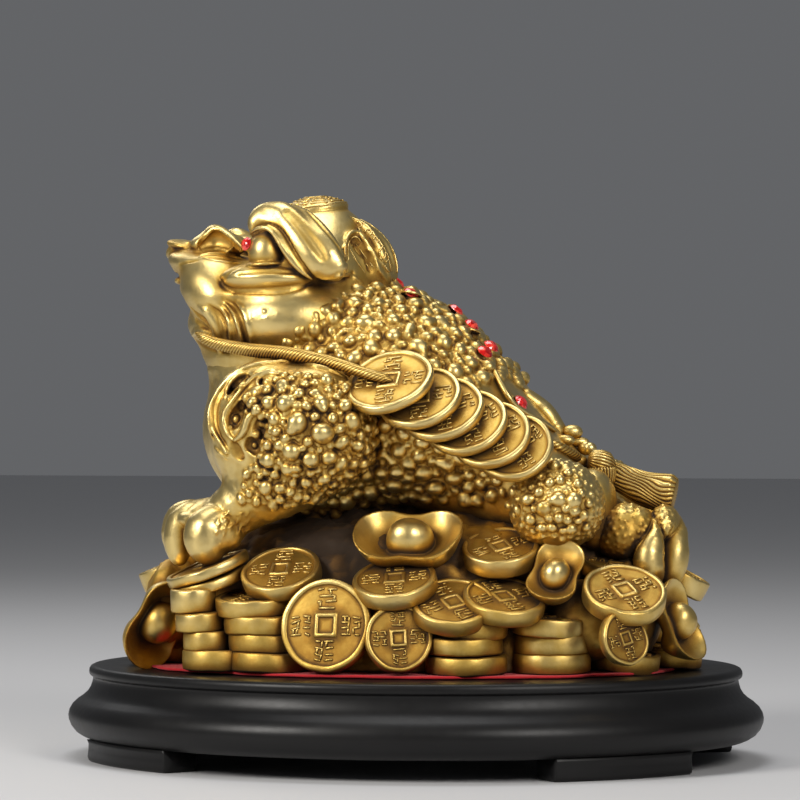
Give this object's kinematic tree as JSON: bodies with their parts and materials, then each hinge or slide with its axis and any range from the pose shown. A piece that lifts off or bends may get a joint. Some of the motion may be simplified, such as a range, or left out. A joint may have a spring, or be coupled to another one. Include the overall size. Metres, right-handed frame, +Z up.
{
  "type": "money toad figure",
  "caption": "Cast brass three-legged toad on a heap of coins and ingots, with red cut stones, a string of coins and a tassel, on an oval black moulded wooden plinth with bracket feet.",
  "frame": {"origin": "on the table at the middle of the oval plinth", "axes": "+Z up, the toad looks towards -X, its left side with the string of coins is towards -Y"},
  "size_m": [0.3, 0.252, 0.2418],
  "materials": {
    "brass": "cast brass, satin polished on the high parts, with dark brown patina and some dull beige polish residue in the hollows",
    "black_wood": "turned and moulded wood, satin black paint",
    "red_felt": "thin red felt, cut by hand along the casting's edge",
    "red_stone": "faceted red glass stones, clear and glossy, foil backed"
  },
  "bodies": {
    "root": {"plinth": "black_wood", "felt_pad": "red_felt", "toad_casting": "brass", "left_eye_stone": "red_stone", "right_eye_stone": "red_stone", "back_stone_1": "red_stone", "back_stone_2": "red_stone", "back_stone_3": "red_stone", "back_stone_4": "red_stone", "back_stone_5": "red_stone", "back_stone_6": "red_stone", "back_stone_7": "red_stone"}
  },
  "joints": []
}
